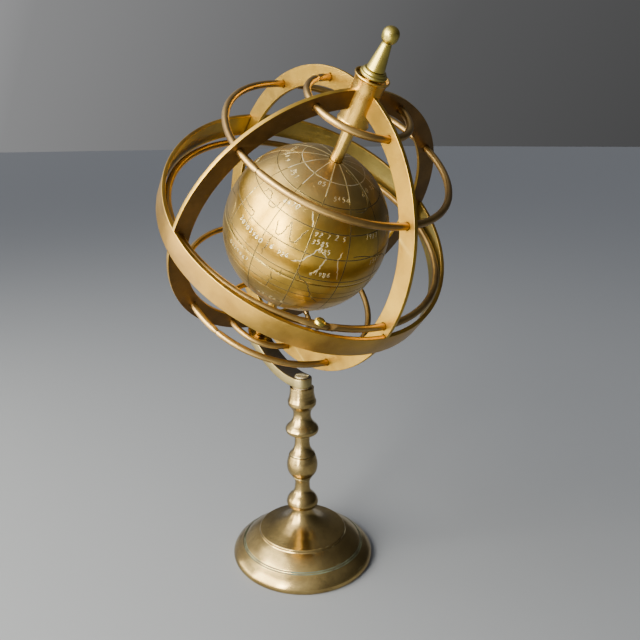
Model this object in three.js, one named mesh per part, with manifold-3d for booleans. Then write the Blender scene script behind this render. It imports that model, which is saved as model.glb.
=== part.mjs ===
// Celestial globe: an engraved brass globe inside an armillary cage on a turned brass stand.
// Millimetres, +Z up. The column stands on the Z axis and the polar axis leans toward +X.
import * as THREE from 'three';
import * as BufferGeometryUtils from 'three/addons/utils/BufferGeometryUtils.js';
import Module from 'manifold-3d';

const wasm = await Module();
wasm.setup();

// driving dimensions
const TILT = THREE.MathUtils.degToRad(34.7);
const CAGE = new THREE.Vector3(6.8, 0, 228.8);
const GLOBE_R = 50;
const GLOBE_WALL = 1.5;
const GLOBE_SHIFT = -3.3;
const COLURE_OUT = 89.7;
const COLURE_IN = 78.9;
const COLURE_THICK = 2.4;
const WIRE_ORBIT = 84.3;
const WIRE_R = 2.0;
const WIRE_HOLE_R = 2.35;
const LATITUDES = {
  arctic: 70.0,
  north_tropic: 39.5,
  equator: 0,
  south_tropic: -41.4,
  antarctic: -69.8,
};
const BAND_OUT = 89.4;
const BAND_IN = 87.0;
const BAND_WIDTH = 15.3;
const BAND_LEAN = THREE.MathUtils.degToRad(7.13);
const BAND_TURN = THREE.MathUtils.degToRad(-13.65);
const ROD_R = 3.6;
const BORE_R = 3.9;
const SLEEVE_R = 8.3;
const ARM_THICK = 6.2;
const ARM_HALF = 6.5;
const ARM_TOP = 129.3;
const ARM_POLAR_TOP = -99.5;
const COLUMN_TOP = 122.5;
const TIE_R = 2.0;
const GAP = 0.3;

// materials
function brass(color, roughness) {
  return new THREE.MeshStandardMaterial({ color, roughness, metalness: 1 });
}
const castBrass = brass(0x8a7550, 0.42);
const sheetBrass = brass(0xb08d55, 0.48);
const wireBrass = brass(0x94744a, 0.4);
const globeBrass = brass(0xa08a45, 0.36);
const paleBrass = brass(0xc0ab78, 0.3);
const darkBrass = brass(0x6f675a, 0.5);
const steel = brass(0x77746c, 0.5);

const group = new THREE.Group();
group.name = 'celestial_globe';

function add(name, geometry, material) {
  const mesh = new THREE.Mesh(geometry, material.clone());
  mesh.name = name;
  group.add(mesh);
}

// solid helpers
function toSolid(geometry) {
  let g = geometry.clone();
  g.deleteAttribute('normal');
  g.deleteAttribute('uv');
  g = BufferGeometryUtils.mergeVertices(g, 1e-4);
  return new wasm.Manifold(new wasm.Mesh({
    numProp: 3,
    vertProperties: new Float32Array(g.attributes.position.array),
    triVerts: new Uint32Array(g.index.array),
  }));
}

function toGeometry(solid) {
  const mesh = solid.getMesh();
  const g = new THREE.BufferGeometry();
  g.setAttribute('position', new THREE.BufferAttribute(new Float32Array(mesh.vertProperties), 3));
  g.setIndex(new THREE.BufferAttribute(new Uint32Array(mesh.triVerts), 1));
  g.computeVertexNormals();
  return g;
}

function cut(geometry, ...tools) {
  return toGeometry(tools.reduce((solid, tool) => solid.subtract(toSolid(tool)), toSolid(geometry)));
}

function join(geometry, ...others) {
  return toGeometry(others.reduce((solid, other) => solid.add(toSolid(other)), toSolid(geometry)));
}

// turned piece about Z from [radius, height] pairs; a bored piece closes its profile on itself
function turned(profile, bore, segments = 20) {
  const points = profile.map(([r, z]) => new THREE.Vector2(r, z));
  const first = profile[0][1];
  const last = profile[profile.length - 1][1];
  if (bore > 0) {
    points.unshift(new THREE.Vector2(bore, first));
    points.push(new THREE.Vector2(bore, last));
    points.push(new THREE.Vector2(bore, first));
  } else {
    points.unshift(new THREE.Vector2(0, first));
    points.push(new THREE.Vector2(0, last));
  }
  const g = new THREE.LatheGeometry(points, segments);
  g.rotateX(Math.PI / 2);
  return g;
}

// places geometry built about the polar axis (+Z) into the leaning cage
function lean(geometry) {
  geometry.rotateY(TILT);
  geometry.translate(CAGE.x, CAGE.y, CAGE.z);
  return geometry;
}

function drill(radius, z0, z1, segments = 14) {
  const g = new THREE.CylinderGeometry(radius, radius, z1 - z0, segments);
  g.rotateX(Math.PI / 2);
  g.translate(0, 0, (z0 + z1) / 2);
  return g;
}

function hexNut(radius, z0, z1, bore) {
  return cut(turned([[radius, z0], [radius, z1]], 0, 6), drill(bore, z0 - 1, z1 + 1));
}

// foot: hollow spun casting closed from below by a flat disc
const footOutside = [
  [47.4, 0], [47.9, 2.0], [46.9, 4.8], [44.4, 7.5], [40.4, 10.5], [36.4, 13.6], [32.6, 16.2],
  [29.6, 17.9], [29.3, 19.6], [20.0, 22.0], [14.0, 24.6], [9.4, 28.6], [7.3, 32.4], [7.3, 34.6],
  [8.4, 36.1],
];
const footInside = [
  [TIE_R + GAP, 36.1], [TIE_R + GAP, 18.6], [20.0, 18.0], [36.0, 10.0], [43.0, 4.6],
  [44.6, 2.4], [44.6, 0],
];
function closedLathe(pairs, segments) {
  const points = pairs.concat([pairs[0]]).map(([r, z]) => new THREE.Vector2(r, z));
  const g = new THREE.LatheGeometry(points, segments);
  g.rotateX(Math.PI / 2);
  return g;
}
add('base_foot', closedLathe(footOutside.concat(footInside), 32), castBrass);
add('base_disc', turned([[44.2, 0], [44.2, 1.2]], 0, 32), darkBrass);
add('base_washer', turned([[8.0, 17.0], [8.0, 18.2]], TIE_R + GAP, 14), steel);
add('base_nut', hexNut(5.6, 12.8, 16.8, TIE_R + GAP), steel);
add('tie_rod', turned([[TIE_R, 9.0], [TIE_R, 108.6]], 0, 14), steel);

// column: four turned pieces threaded on the tie rod
const column = {
  column_lower_collar: [
    [8.7, 36.4], [10.2, 37.2], [10.8, 39.4], [9.9, 42.6], [8.4, 44.9], [6.3, 47.0],
    [5.2, 49.4], [5.0, 52.4], [5.1, 55.0], [5.6, 56.9],
  ],
  column_baluster: [
    [5.8, 57.2], [6.3, 58.2], [8.8, 60.8], [10.0, 63.8], [10.4, 66.8], [10.1, 69.8],
    [8.5, 75.0], [6.6, 78.7], [5.5, 80.9], [5.15, 83.2], [5.15, 87.9],
  ],
  column_upper_collar: [
    [5.6, 88.2], [7.4, 88.5], [9.4, 89.9], [10.7, 91.5], [11.1, 93.3], [10.4, 95.3],
    [9.2, 96.8], [7.3, 99.0], [6.4, 100.8], [6.1, 102.6], [6.4, 106.7],
  ],
};
for (const [name, profile] of Object.entries(column)) {
  add(name, turned(profile, TIE_R + GAP), castBrass);
}
const cupProfile = [
  [6.6, 107.0], [8.3, 109.2], [9.3, 111.0], [9.4, 112.8], [8.6, 115.3], [8.2, 117.6],
  [7.9, 120.4], [7.9, COLUMN_TOP],
];
add('column_cup', cut(
  turned(cupProfile, 0),
  drill(TIE_R + GAP, 102, 109),
  drill(2.6, 110, 124),
), castBrass);

// arm: curved bar from the column top to the lower end of the polar axis
function armSide() {
  const start = -4;
  const polar = new THREE.Vector2(
    CAGE.x + ARM_POLAR_TOP * Math.sin(TILT),
    CAGE.z + ARM_POLAR_TOP * Math.cos(TILT),
  );
  const run = start - polar.x;
  const rise = polar.y - ARM_TOP;
  const slope = Math.tan(TILT);
  const bend = (slope * run - rise) / (slope * Math.sin(TILT) - (1 - Math.cos(TILT)));
  const top = [new THREE.Vector2(0, ARM_TOP)];
  const bottom = [new THREE.Vector2(0, ARM_TOP - ARM_THICK)];
  for (let i = 0; i <= 6; i += 1) {
    const a = TILT * i / 6;
    const out = new THREE.Vector2(-Math.sin(a), -Math.cos(a));
    const centre = new THREE.Vector2(start, ARM_TOP + bend);
    top.push(centre.clone().addScaledVector(out, bend));
    bottom.push(centre.clone().addScaledVector(out, bend + ARM_THICK));
  }
  top.push(polar.clone());
  bottom.push(polar.clone().add(new THREE.Vector2(-Math.sin(TILT), -Math.cos(TILT))
    .multiplyScalar(ARM_THICK)));
  return new THREE.Shape(top.concat(bottom.reverse()));
}
const armBar = new THREE.ExtrudeGeometry(armSide(), { depth: 2 * ARM_HALF, bevelEnabled: false });
armBar.rotateX(Math.PI / 2);
armBar.translate(0, ARM_HALF, 0);
const armUnder = ARM_POLAR_TOP - ARM_THICK;
add('arm', cut(
  join(
    armBar,
    drill(ARM_HALF, ARM_TOP - ARM_THICK, ARM_TOP, 20),
    lean(drill(ARM_HALF, armUnder, ARM_POLAR_TOP, 20)),
  ),
  drill(2.6, 120, 132),
  lean(drill(3.1, armUnder - 3, ARM_POLAR_TOP + 3)),
), darkBrass);
add('arm_washer', turned([[6.2, COLUMN_TOP + 0.05], [6.2, 123.05]], 2.7, 14), paleBrass);
const screwSlot = new THREE.BoxGeometry(11, 1.1, 1.4);
screwSlot.translate(0, 0, 130.6);
add('arm_screw', cut(
  turned([[2.3, 113], [2.3, 129.35], [4.7, 129.35], [4.7, 130.1], [3.9, 130.6]], 0, 16),
  screwSlot,
), paleBrass);

// polar rod with its nut, washer and finial
add('axis_rod', lean(turned([
  [2.8, -110.4], [2.8, -98.2], [ROD_R, -98.2], [ROD_R, 96.4], [2.2, 96.4], [2.2, 108],
], 0, 14)), sheetBrass);
add('polar_nut', lean(hexNut(5.4, -109.4, armUnder - 0.1, 3.1)), darkBrass);
add('polar_washer', lean(turned([[7.6, -99.4], [7.6, -98.7]], 3.2, 14)), paleBrass);
add('finial_collar', lean(turned([
  [7.3, 97.1], [7.1, 98.6], [6.4, 98.9], [6.1, 99.9], [5.5, 100.4],
], 2.6, 18)), paleBrass);
const finialBody = turned([
  [4.9, 100.6], [4.7, 101.4], [2.7, 113.4], [2.4, 114.4], [3.6, 115.6], [4.2, 117.0],
  [4.3, 118.2], [3.8, 120.0], [2.4, 121.8], [1.0, 122.3],
], 0, 18);
add('finial', lean(cut(finialBody, drill(2.5, 100, 108.6))), paleBrass);

// sleeves with flared lips that carry the colure plates at both poles
add('north_sleeve', lean(turned([
  [8.8, 70.1], [8.9, 71.0], [8.45, 71.9], [SLEEVE_R, 73.5], [SLEEVE_R, 91.0], [8.55, 93.6],
  [8.9, 95.2], [9.55, 96.1], [9.5, 96.9],
], BORE_R + 0.05, 22)), sheetBrass);
add('south_sleeve', lean(turned([
  [8.8, -98.4], [8.9, -97.5], [8.45, -96.6], [SLEEVE_R, -95.0], [SLEEVE_R, -73.5],
  [8.45, -71.9], [8.9, -71.0], [8.8, -70.1],
], BORE_R + 0.05, 22)), sheetBrass);

// ring about the polar axis with a round section
function wireRing(latitude, orbit, radius, segments, sides = 6) {
  const a = THREE.MathUtils.degToRad(latitude);
  const r = orbit * Math.cos(a);
  const z = orbit * Math.sin(a);
  const pairs = [];
  for (let i = 0; i < sides; i += 1) {
    const b = 2 * Math.PI * (i + 0.5) / sides;
    pairs.push([r + radius * Math.cos(b), z + radius * Math.sin(b)]);
  }
  return closedLathe(pairs, segments);
}

// the hand-bent band rises and falls a little about its own plane
function bandRise(angle) {
  return 0.2 - 0.32 * Math.cos(2 * angle) - 2.1 * Math.sin(2 * angle)
    - 0.4 * Math.cos(3 * angle) - 0.58 * Math.sin(3 * angle);
}

// band: flat hoop leaning off the equator, let into notches in the plates
function hoop(inner, outer, width, segments) {
  const half = width / 2;
  const section = [[inner, -half], [outer, -half], [outer, half], [inner, half]];
  const positions = [];
  const index = [];
  for (let i = 0; i < segments; i += 1) {
    const a = 2 * Math.PI * i / segments;
    const rise = bandRise(a + BAND_TURN);
    for (let k = 0; k < 4; k += 1) {
      const [r, z] = section[k];
      positions.push(r * Math.cos(a), r * Math.sin(a), z + rise);
      const next = (k + 1) % 4;
      const here = 4 * i;
      const there = 4 * ((i + 1) % segments);
      index.push(here + k, there + k, there + next);
      index.push(here + k, there + next, here + next);
    }
  }
  const g = new THREE.BufferGeometry();
  g.setAttribute('position', new THREE.Float32BufferAttribute(positions, 3));
  g.setIndex(index);
  g.computeVertexNormals();
  g.rotateY(BAND_LEAN);
  g.rotateZ(BAND_TURN);
  return g;
}
add('zodiac_band', lean(hoop(BAND_IN, BAND_OUT, BAND_WIDTH, 72)), sheetBrass);

// colure plates: four flat half rings between the sleeves, drilled for the wires
function colure(turn) {
  const shape = new THREE.Shape();
  shape.absarc(0, 0, COLURE_OUT, -Math.PI / 2, Math.PI / 2, false);
  shape.absarc(0, 0, COLURE_IN, Math.PI / 2, -Math.PI / 2, true);
  const plate = new THREE.ExtrudeGeometry(shape, {
    depth: COLURE_THICK, bevelEnabled: false, curveSegments: 26,
  });
  plate.translate(0, 0, -COLURE_THICK / 2);
  plate.rotateX(Math.PI / 2);
  const trim = new THREE.BoxGeometry(2 * (SLEEVE_R + GAP), 10, 200);
  const holes = Object.values(LATITUDES).map((latitude) => {
    const a = THREE.MathUtils.degToRad(latitude);
    const g = new THREE.CylinderGeometry(WIRE_HOLE_R, WIRE_HOLE_R, 8, 12);
    g.translate(WIRE_ORBIT * Math.cos(a), 0, WIRE_ORBIT * Math.sin(a));
    return g;
  });
  const notch = hoop(BAND_IN - 0.45, BAND_OUT + 6, BAND_WIDTH + 0.7, 72);
  notch.rotateZ(-turn);
  const g = cut(plate, trim, notch, ...holes);
  g.rotateZ(turn);
  return lean(g);
}
const quarters = { front: 0, right: 1, back: 2, left: 3 };
for (const [side, quarter] of Object.entries(quarters)) {
  add(`colure_${side}`, colure(quarter * Math.PI / 2), sheetBrass);
}

// latitude wires, each closed by a butt joint
const wires = {
  arctic: [24, 201],
  north_tropic: [40, 285],
  south_tropic: [40, 293],
  antarctic: [24, 75],
};
for (const [name, [segments, joint]] of Object.entries(wires)) {
  const ring = wireRing(LATITUDES[name], WIRE_ORBIT, WIRE_R, segments);
  const slit = new THREE.BoxGeometry(200, GAP, 200);
  slit.translate(100, 0, 0);
  slit.rotateZ(THREE.MathUtils.degToRad(joint));
  add(`${name}_wire`, lean(cut(ring, slit)), wireBrass);
}

// equator wire: overlapped ends held by a rivet
const LAP = THREE.MathUtils.degToRad(-27.5);
const rivetHole = drill(0.95, -6, 6, 12);
rivetHole.translate(WIRE_ORBIT * Math.cos(LAP), WIRE_ORBIT * Math.sin(LAP), 0);
const scarf = new THREE.BoxGeometry(9, 200, GAP);
scarf.rotateX(0.42);
scarf.translate(WIRE_ORBIT, 0, 0);
scarf.rotateZ(LAP);
const scarfTrim = new THREE.BoxGeometry(20, 14, 20);
scarfTrim.translate(WIRE_ORBIT, 0, 0);
scarfTrim.rotateZ(LAP);
const scarfCut = toGeometry(toSolid(scarf).intersect(toSolid(scarfTrim)));
add('equator_wire', lean(cut(
  wireRing(LATITUDES.equator, WIRE_ORBIT, WIRE_R, 48),
  scarfCut,
  rivetHole,
)), wireBrass);
const rivet = turned([
  [1.0, -2.8], [1.5, -2.1], [0.65, -2.1], [0.65, 2.1], [3.1, 2.1], [2.8, 3.2], [1.5, 4.1],
], 0, 14);
rivet.translate(WIRE_ORBIT, 0, 0);
rivet.rotateZ(LAP);
add('equator_rivet', lean(rivet), paleBrass);

// globe: two thin half shells on bushes, joined by an inner seam ring
function halfShell(sign) {
  const steps = 6;
  const inner = GLOBE_R - GLOBE_WALL;
  const pairs = [];
  const outerEnd = Math.acos(BORE_R / GLOBE_R);
  const innerEnd = Math.acos(BORE_R / inner);
  const edge = 0.15;
  for (let i = 0; i <= steps; i += 1) {
    const a = Math.asin(edge / GLOBE_R) + (outerEnd - Math.asin(edge / GLOBE_R)) * i / steps;
    pairs.push([GLOBE_R * Math.cos(a), GLOBE_R * Math.sin(a)]);
  }
  for (let i = steps; i >= 0; i -= 1) {
    const a = Math.asin(edge / inner) + (innerEnd - Math.asin(edge / inner)) * i / steps;
    pairs.push([inner * Math.cos(a), inner * Math.sin(a)]);
  }
  const g = closedLathe(pairs, 28);
  if (sign < 0) {
    g.rotateX(Math.PI);
  }
  g.translate(0, 0, GLOBE_SHIFT);
  return lean(g);
}
add('globe_upper', halfShell(1), globeBrass);
add('globe_lower', halfShell(-1), globeBrass);
add('globe_seam_ring', lean(turned([
  [47.3, GLOBE_SHIFT - 3], [47.3, GLOBE_SHIFT + 3],
], 46.3, 28)), sheetBrass);
for (const [name, sign] of [['globe_bush_upper', 1], ['globe_bush_lower', -1]]) {
  const bush = turned([[6.4, 42.6], [6.4, 47.7]], BORE_R + 0.05, 14);
  if (sign < 0) {
    bush.rotateX(Math.PI);
  }
  bush.translate(0, 0, GLOBE_SHIFT);
  add(name, lean(bush), sheetBrass);
}
add('globe_stop', lean(turned([[6.2, -57.6], [6.2, -53.5]], BORE_R + 0.05, 14)), sheetBrass);

export default group;
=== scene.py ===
"""Looks of the celestial globe: turned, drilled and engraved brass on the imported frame."""
import math

import bpy
import numpy as np
from mathutils import Matrix, Vector


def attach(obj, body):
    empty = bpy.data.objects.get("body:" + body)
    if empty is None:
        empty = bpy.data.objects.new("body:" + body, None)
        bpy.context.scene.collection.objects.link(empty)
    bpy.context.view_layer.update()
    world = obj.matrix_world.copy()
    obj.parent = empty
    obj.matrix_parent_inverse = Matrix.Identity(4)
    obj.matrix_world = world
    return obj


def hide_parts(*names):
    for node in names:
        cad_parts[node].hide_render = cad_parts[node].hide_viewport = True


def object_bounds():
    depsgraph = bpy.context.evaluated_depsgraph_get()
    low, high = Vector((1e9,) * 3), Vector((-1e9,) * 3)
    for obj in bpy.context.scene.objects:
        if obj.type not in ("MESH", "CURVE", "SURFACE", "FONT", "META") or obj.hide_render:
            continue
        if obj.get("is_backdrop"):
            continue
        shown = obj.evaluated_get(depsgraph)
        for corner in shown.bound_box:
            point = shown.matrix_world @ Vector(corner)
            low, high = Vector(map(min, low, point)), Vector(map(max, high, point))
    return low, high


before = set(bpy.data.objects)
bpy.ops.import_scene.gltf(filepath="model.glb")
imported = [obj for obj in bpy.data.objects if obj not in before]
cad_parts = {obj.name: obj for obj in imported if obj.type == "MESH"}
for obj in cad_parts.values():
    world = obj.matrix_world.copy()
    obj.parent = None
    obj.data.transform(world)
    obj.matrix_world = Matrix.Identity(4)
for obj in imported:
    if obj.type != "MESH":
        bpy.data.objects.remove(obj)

first_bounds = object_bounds()
scene = bpy.context.scene

# ---- dimensions, millimetres
MM = 0.001
TILT = math.radians(34.7)
CAGE = (6.8, 0.0, 228.8)
GLOBE_R = 50.0
GLOBE_WALL = 1.5
GLOBE_BORE = 3.9
GLOBE_SHIFT = -3.3
WIRE_ORBIT = 84.3
WIRE_R = 2.0
WIRE_HOLE_R = 2.22
LATITUDES = {
    "arctic": 70.0,
    "north_tropic": 39.5,
    "equator": 0.0,
    "south_tropic": -41.4,
    "antarctic": -69.8,
}
# where around the axis each butt joint lies, in degrees
WIRE_JOINTS = {"arctic": 201, "north_tropic": 285, "south_tropic": 293, "antarctic": 75}
LAP_AT = math.radians(-27.5)
BAND_IN = 87.0
BAND_OUT = 89.4
BAND_HALF = 7.65
BAND_LEAN = math.radians(7.13)
BAND_TURN = math.radians(-13.65)
PLATE_OUT = 89.7
PLATE_IN = 78.9
PLATE_HALF = 1.2
PLATE_EDGE = 0.22
PLATE_STEM = 8.1
ARM_TOP = 129.3
ARM_THICK = 6.2
ARM_HALF = 6.5
ARM_EDGE = 0.6
ARM_FLAT = 4.0
ARM_POLAR_TOP = -99.5
LEAN = Matrix.Translation(CAGE) @ Matrix.Rotation(TILT, 4, "Y")
SHIFTED = LEAN @ Matrix.Translation((0, 0, GLOBE_SHIFT))
UPRIGHT = Matrix.Identity(4)


def srgb(text):
    """Linear colour from a hex string."""
    out = []
    for i in (0, 2, 4):
        c = int(text[i:i + 2], 16) / 255
        out.append(c / 12.92 if c <= 0.04045 else ((c + 0.055) / 1.055) ** 2.4)
    return (*out, 1.0)


# ---- materials
class Nodes:
    """Short calls that build one node tree."""

    def __init__(self, tree, coordinates):
        self.tree = tree
        self.place = self.node("ShaderNodeTexCoord").outputs[coordinates]

    def node(self, kind, inputs=None, **values):
        """A new node, with its settings and its inputs, which are values or other outputs."""
        n = self.tree.nodes.new(kind)
        for key, value in values.items():
            setattr(n, key, value)
        for key, value in (inputs or {}).items():
            self.feed(value, n.inputs[key])
        return n

    def feed(self, value, socket):
        """Links an output to the socket, or sets the socket to a plain value."""
        if hasattr(value, "is_output"):
            self.tree.links.new(value, socket)
        else:
            socket.default_value = value

    def mapped(self, location=(0, 0, 0), rotation=(0, 0, 0), scale=(1, 1, 1)):
        inputs = {"Location": location, "Rotation": rotation, "Scale": scale, "Vector": self.place}
        return self.node("ShaderNodeMapping", inputs, vector_type="TEXTURE").outputs["Vector"]

    def noise(self, scale, detail, rough, source=None, distortion=0.0):
        inputs = {"Scale": scale, "Detail": detail, "Roughness": rough, "Distortion": distortion,
                  "Vector": source or self.place}
        return self.node("ShaderNodeTexNoise", inputs).outputs["Fac"]

    def ramp(self, source, stops, tint=(1.0, 1.0, 1.0)):
        """Grey ramp through (position, value) stops, coloured by tint."""
        n = self.node("ShaderNodeValToRGB", {"Fac": source})
        while len(n.color_ramp.elements) < len(stops):
            n.color_ramp.elements.new(0.5)
        for element, (position, value) in zip(n.color_ramp.elements, stops):
            element.position = position
            element.color = (*(value * part for part in tint), 1)
        return n.outputs["Color"]

    def mix(self, fac, a, b):
        return self.node("ShaderNodeMix", {0: fac, 6: a, 7: b}, data_type="RGBA").outputs[2]

    def math(self, op, a, b, c=None):
        inputs = {0: a, 1: b} if c is None else {0: a, 1: b, 2: c}
        return self.node("ShaderNodeMath", inputs, operation=op).outputs[0]

    def bump(self, height, distance, strength, normal=None):
        inputs = {"Strength": strength, "Distance": distance, "Height": height}
        if normal is not None:
            inputs["Normal"] = normal
        return self.node("ShaderNodeBump", inputs).outputs["Normal"]


class Surface(Nodes):
    """A material's node tree and its Principled shader."""

    def __init__(self, name):
        self.mat = bpy.data.materials.new(name)
        self.mat.use_nodes = True
        super().__init__(self.mat.node_tree, "Object")
        self.bsdf = self.tree.nodes["Principled BSDF"]

    def shade(self, inputs):
        """Sets or links the shader's inputs by name."""
        for key, value in inputs.items():
            self.feed(value, self.bsdf.inputs[key])


# near-black for hollows and joints: painted shade with grime
SHADE_AND_GRIME = "231e17"
GREEN_DEPOSIT = "7c9a7c"
POLAR_GREY = "ab9a74"


class Brass(Surface):
    """Aged brass: the masks that its colour, roughness and relief share, and those three."""

    def __init__(self, name, leaning):
        super().__init__(name)
        if leaning:
            self.place = self.mapped(tuple(MM * c for c in CAGE), (0, TILT, 0))
        self.clouds = self.noise(38, 5, 0.6)
        self.blotches = self.noise(150, 6, 0.65, distortion=0.6)
        point = self.node("ShaderNodeNewGeometry").outputs["Pointiness"]
        self.hollow = self.ramp(point, [(0.40, 1.0), (0.492, 0.0)])
        proud = self.ramp(point, [(0.515, 0.0), (0.60, 1.0)])
        rubbed = self.ramp(self.blotches, [(0.3, 0.35), (0.6, 1.0)])
        self.worn = self.math("MULTIPLY", proud, rubbed)
        self.veil = None

    def polar_veil(self):
        """Mask of the greyer colour and higher roughness toward the globe's north pole."""
        split = self.node("ShaderNodeSeparateXYZ", {0: self.place})
        high = self.math("ADD", split.outputs[2], self.math("MULTIPLY", self.clouds, 0.02))
        self.veil = self.ramp(self.math("MULTIPLY", high, 10.0), [(0.34, 0.0), (0.58, 0.6)])

    def tone(self, base, dark, pale, patina, specks, verdigris, edge):
        """Colour: clouds and blotches of tarnish, dots, painted shade with grime in hollows, rubbed
        edges.
        """
        dots = self.noise(900, 3, 0.7)
        tone = self.mix(self.ramp(self.clouds, [(0.30, 0.0), (0.70, 1.0)]), srgb(dark), srgb(base))
        for mask, stops, amount in (
            (self.blotches, [(0.46, 0.0), (0.74, 1.0)], patina),
            (dots, [(0.62, 0.0), (0.74, 1.0)], specks),
        ):
            tone = self.mix(self.math("MULTIPLY", self.ramp(mask, stops), amount), tone, srgb(dark))
        if self.veil:
            tone = self.mix(self.veil, tone, srgb(POLAR_GREY))
        # hollows darken toward near-black: painted shade with grime
        tone = self.mix(self.math("MULTIPLY", self.hollow, 0.85), tone, srgb(SHADE_AND_GRIME))
        if verdigris:
            patches = self.ramp(self.blotches, [(0.36, 0.0), (0.55, verdigris)])
            tone = self.mix(self.math("MULTIPLY", self.hollow, patches), tone, srgb(GREEN_DEPOSIT))
        tone = self.mix(self.math("MULTIPLY", self.worn, 0.75 * edge), tone, srgb(pale))
        self.shade({"Base Color": tone})

    def roughness(self, rough, lines, fine):
        """Roughness follows the tarnish and the tool lines; rubbed edges are smoother."""
        mottle = 0.20 * (0.2 + 0.8 * fine)
        r = self.math("MULTIPLY_ADD", self.blotches, mottle, rough - mottle / 2)
        r = self.math("ADD", r, self.math("MULTIPLY", self.math("SUBTRACT", lines, 0.5),
                                          0.28 * fine))
        r = self.math("SUBTRACT", r, self.math("MULTIPLY", self.worn, 0.10))
        r = self.math("ADD", r, self.math("MULTIPLY", self.hollow, 0.25))
        r = self.math("MAXIMUM", r, 0.14)
        if self.veil:
            r = self.math("ADD", r, self.math("MULTIPLY", self.veil, 0.10))
        self.shade({"Roughness": self.math("MINIMUM", r, 0.85)})

    def scratches(self):
        """Mask of long fine scratches in two directions."""
        first = self.noise(1.0, 3, 0.8, self.mapped(rotation=(0.4, 0.9, 0.3),
                                                    scale=(0.0003, 0.014, 0.014)))
        second = self.noise(1.0, 3, 0.8, self.mapped(rotation=(1.1, 0.2, 1.3),
                                                     scale=(0.014, 0.00035, 0.014)))
        return self.math("MAXIMUM", self.ramp(first, [(0.66, 0.0), (0.70, 1.0)]),
                         self.ramp(second, [(0.67, 0.0), (0.71, 1.0)]))

    def relief(self, lines, fine, scratch, uneven):
        """Tool lines, scratches, blotches and slow dents, in that order."""
        normal = self.bump(lines, 0.00010, 0.30 * fine)
        normal = self.bump(self.scratches(), 0.00006, 0.5 * scratch, normal)
        normal = self.bump(self.blotches, 0.00020, 0.25 * fine, normal)
        self.shade({"Normal": self.bump(self.clouds, uneven, 0.22, normal)})


def brass(name, base, dark, pale, rough, patina, turned=False, leaning=False, verdigris=0.0,
          scratch=1.0, specks=0.3, uneven=0.0003, coat=0.0, grey_top=False, fine=1.0, edge=1.0,
          streaks=0.0):
    """Aged brass in three colours: clean, tarnished and rubbed.

    patina, specks, verdigris, scratch, fine and edge are strengths of the blotches, dots, green
    deposit, scratches, grain and worn edges. uneven is the depth of the slow dents, in metres.
    """
    s = Brass(name, leaning)
    if grey_top:
        s.polar_veil()
    if turned:
        lines = s.noise(1.0, 6, 0.75, s.mapped(scale=(5, 5, 0.00042)))
    else:
        lines = s.noise(1400, 4, 0.7)
    s.tone(base, dark, pale, patina, specks, verdigris, edge)
    s.roughness(rough, lines, fine)
    s.relief(lines, fine, scratch, uneven)
    s.shade({"Metallic": 1.0, "Coat Weight": coat, "Coat Roughness": 0.14})
    if streaks:
        # lathe marks run around the column and spread highlights along it
        around = s.node("ShaderNodeTangent", direction_type="RADIAL", axis="Z")
        s.shade({"Tangent": around.outputs["Tangent"], "Anisotropic": streaks,
                 "Anisotropic Rotation": 0.25})
    return s.mat


def plain_metal(name, base, dark, rough, metallic=1.0):
    """Cloudy metal with a fine grain, for grooves, dirt and hidden fasteners."""
    s = Surface(name)
    cloud = s.noise(160, 5, 0.6)
    grain = s.noise(1500, 3, 0.7)
    s.shade({
        "Base Color": s.mix(s.ramp(cloud, [(0.35, 0.0), (0.7, 1.0)]), srgb(dark), srgb(base)),
        "Metallic": metallic,
        "Roughness": s.math("MULTIPLY_ADD", cloud, 0.3, rough - 0.15),
        "Normal": s.bump(grain, 0.0001, 0.3),
    })
    return s.mat


CAST = brass("cast_brass", "bea56a", "7d6840", "e6d69c", 0.22, 0.45, turned=True, verdigris=0.9,
             fine=0.3, streaks=0.75, scratch=0.6)
SHEET = brass("sheet_brass", "bf9834", "8c6926", "efd478", 0.37, 0.30, leaning=True)
BAND = brass("band_brass", "bf963c", "88642a", "ebd07c", 0.35, 0.35, turned=True, leaning=True)
WIRE = brass("wire_brass", "b59456", "795e36", "dcc890", 0.36, 0.40, leaning=True,
             fine=0.35, edge=0.3, scratch=0.6)
GLOBE = brass("globe_brass", "cba43c", "987830", "f0da84", 0.30, 0.35, leaning=True,
              scratch=0.8, specks=0.08, uneven=0.0012, coat=0.15, grey_top=True, fine=0.08)
TUBE = brass("tube_brass", "dab456", "a8843e", "f2dc98", 0.28, 0.25, leaning=True,
             uneven=0.0001, fine=0.1, edge=0.15, specks=0.05, scratch=0.4)
PALE = brass("pale_brass", "c6b358", "8f8040", "efe3b0", 0.30, 0.30, leaning=True,
             uneven=0.0001, fine=0.15, edge=0.15, specks=0.05, scratch=0.5)
# pale brass for the up-facing screw head and washer: painted reflection of the bright sky above
SKY_LIT_PALE = brass("screw_brass_painted_sky", "d8cca6", "8f8464", "f0e8cc", 0.50, 0.5, scratch=2.0,
                uneven=0.0001)
# paler, greener brass for the band's inner face: painted light that cancels the orange glow bounced
# between brass faces
INSIDE_PAINTED_LIGHT = brass("band_inside_painted_light", "b0a05c", "7d7040", "dccb8c", 0.40, 0.4, turned=True,
               leaning=True, fine=0.6)
# dark brown for the side plates' downward faces: painted shade
PAINTED_SHADE_BROWN = brass("painted_shade_brown", "7a5d34", "4c3a20", "b0905a", 0.42, 0.5, leaning=True,
              edge=0.6)
# dark brass: patina, and on the arm's top and bottom faces painted shade under the cage
DARK_PATINA_AND_SHADE = brass("dark_patina_and_shade", "6a6458", "3f3a32", "a59c86", 0.44, 0.5)
ARM_SIDE_LIT = brass("arm_side_brass", "aa9a68", "766a45", "e3d49e", 0.40, 0.4, uneven=0.0001)
DIRT = plain_metal("groove_dirt", "5c6650", "3a3526", 0.7, metallic=0.35)
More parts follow.
